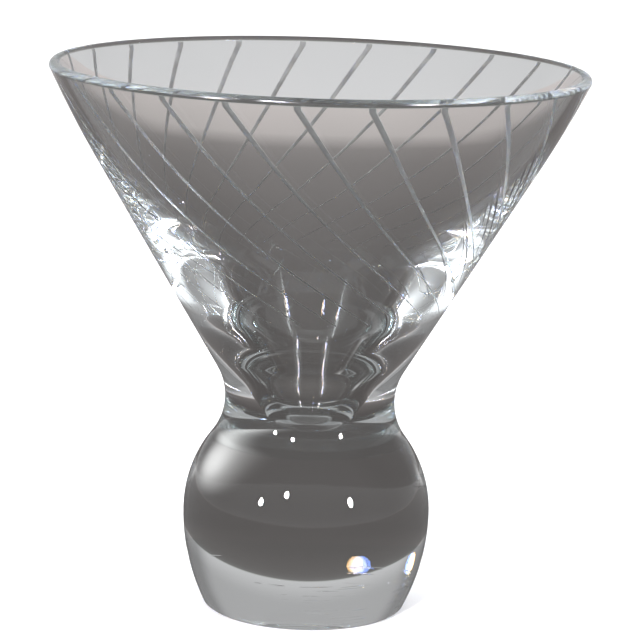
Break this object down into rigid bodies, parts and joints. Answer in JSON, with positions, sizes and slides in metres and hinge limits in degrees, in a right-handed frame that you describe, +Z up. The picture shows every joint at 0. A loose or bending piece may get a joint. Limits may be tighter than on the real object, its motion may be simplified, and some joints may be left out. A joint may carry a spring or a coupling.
{
  "type": "martini glass",
  "caption": "Stemless martini glass: a cone-shaped clear bowl with swirling satin cut lines, fused to a solid glass ball foot with a flat base.",
  "frame": {"origin": "centre of the flat under the ball foot, where the glass stands on the table", "axes": "+Z up along the glass's axis of turning, towards the lip; +X and +Y are level"},
  "size_m": [0.115, 0.115, 0.1185],
  "materials": {
    "bowl_glass": "fire-polished clear glass",
    "foot_glass": "solid clear glass, ground flat underneath",
    "cut_lines": "satin wheel-cut glass"
  },
  "bodies": {
    "root": {"bowl": "bowl_glass", "ball_base": "foot_glass"}
  },
  "joints": []
}
